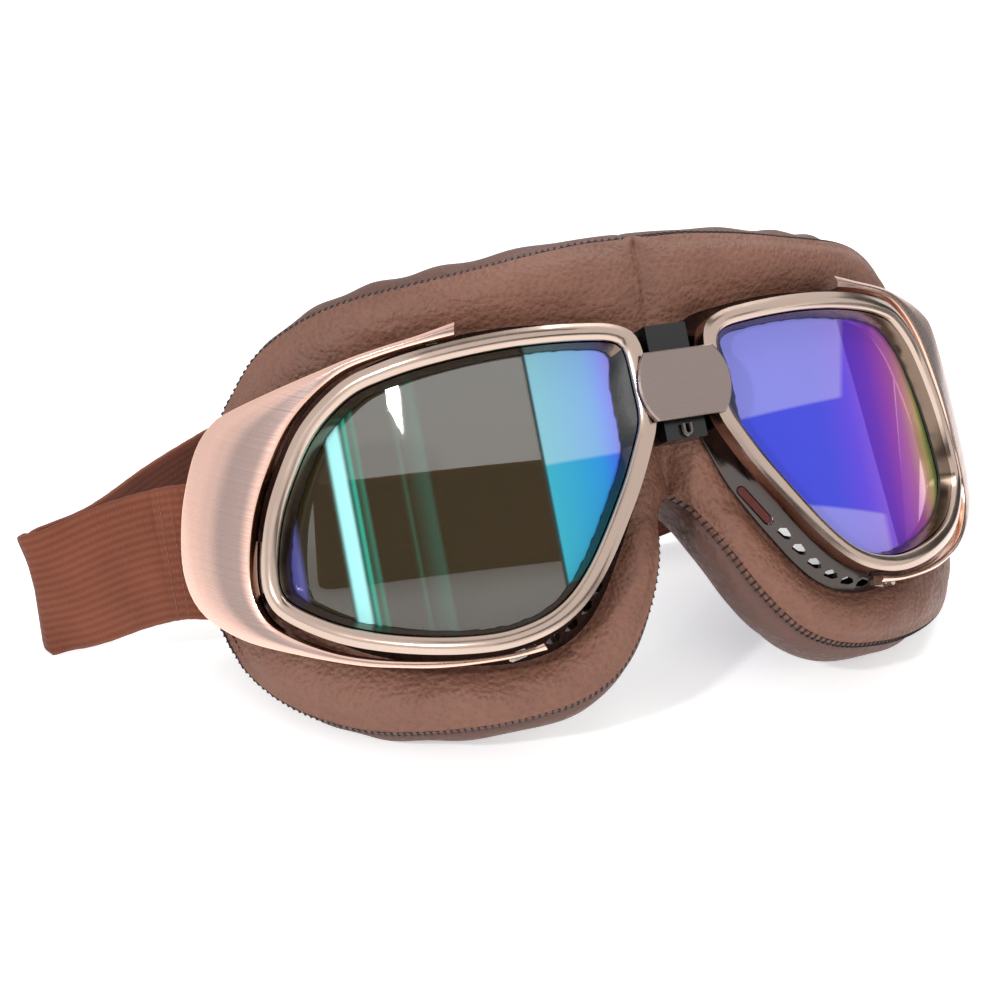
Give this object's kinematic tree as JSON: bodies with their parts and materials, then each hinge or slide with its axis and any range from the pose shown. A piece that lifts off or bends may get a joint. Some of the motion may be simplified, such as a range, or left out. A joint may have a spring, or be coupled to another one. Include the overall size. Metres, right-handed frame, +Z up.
{
  "type": "leather riding goggles",
  "caption": "Split-lens riding goggles with metal rims and temple wings, vented housings, a padded leather face pad that flexes at the nose, and a webbing head strap with a slider.",
  "frame": {"origin": "middle of the bounding box's bottom face, where the goggles stand on their face pad and strap", "axes": "+Z up, -Y the way the lenses face, +X to the right as seen from the front"},
  "size_m": [0.2282, 0.1394, 0.0924],
  "materials": {
    "rim_copper": "satin copper",
    "brushed_copper": "brushed copper",
    "dark_chrome": "dark chrome",
    "steel": "bright steel",
    "black_plastic": "gloss",
    "black_rubber": "matte",
    "mirror_lens_left": "tinted lens with a mirror coating",
    "mirror_lens_right": "tinted lens with a mirror coating",
    "brown_leather": "grained",
    "dark_leather": "grained",
    "grey_foam": "foam",
    "red_vent_foam": "foam",
    "black_thread": "thread",
    "brown_webbing": "ribbed elastic"
  },
  "bodies": {
    "root": {"rim_left": "rim_copper", "lens_left": "mirror_lens_left", "lens_seal_left": "black_rubber", "housing_left": "dark_chrome", "vent_foam_left": "red_vent_foam", "wing_left": "brushed_copper", "arm_clip_lower_left": "steel", "arm_clip_upper_left": "steel", "strap_bracket_left": "steel", "strap_bar_left": "steel", "pad_front_left": "brown_leather", "pad_foam_left": "grey_foam", "face_roll_left": "dark_leather", "seam_thread_left": "black_thread", "strap_end_left": "brown_webbing", "bridge_block": "black_plastic", "hinge_pin": "steel", "hinge_clip": "steel", "badge": "brushed_copper", "badge_post_lower": "steel", "badge_post_upper": "steel"},
    "right_half": {"rim_right": "rim_copper", "lens_right": "mirror_lens_right", "lens_seal_right": "black_rubber", "housing_right": "dark_chrome", "vent_foam_right": "red_vent_foam", "wing_right": "brushed_copper", "arm_clip_lower_right": "steel", "arm_clip_upper_right": "steel", "strap_bracket_right": "steel", "strap_bar_right": "steel", "pad_front_right": "brown_leather", "pad_foam_right": "grey_foam", "face_roll_right": "dark_leather", "seam_thread_right": "black_thread", "strap_end_right": "brown_webbing", "hinge_ear_right": "black_plastic"},
    "strap_left": {"strap_left": "brown_webbing"},
    "strap_right": {"strap_right": "brown_webbing"},
    "slider": {"strap_slider": "steel", "strap_tail": "brown_webbing"}
  },
  "joints": [
    {"name": "nose_flex", "type": "hinge", "parent": "root", "child": "right_half", "pos_m": [0.01148, -0.0424, 0.06736], "axis": [0, 0.5388, 0.8425], "range_deg": [0, 3], "stiffness_Nm_per_rad": 3},
    {"name": "strap_swing_left", "type": "hinge", "parent": "root", "child": "strap_left", "pos_m": [-0.08467, -0.00499, 0.02854], "axis": [0, 0, 1], "range_deg": [-4, 4]},
    {"name": "strap_swing_right", "type": "hinge", "parent": "right_half", "child": "strap_right", "pos_m": [0.10764, -0.00477, 0.02918], "axis": [0, 0, 1], "range_deg": [-4, 4]},
    {"name": "slider_travel", "type": "slide", "parent": "strap_right", "child": "slider", "axis": [-0.9786, -0.0496, -0.1999], "range_m": [-0.004, 0.016]}
  ]
}
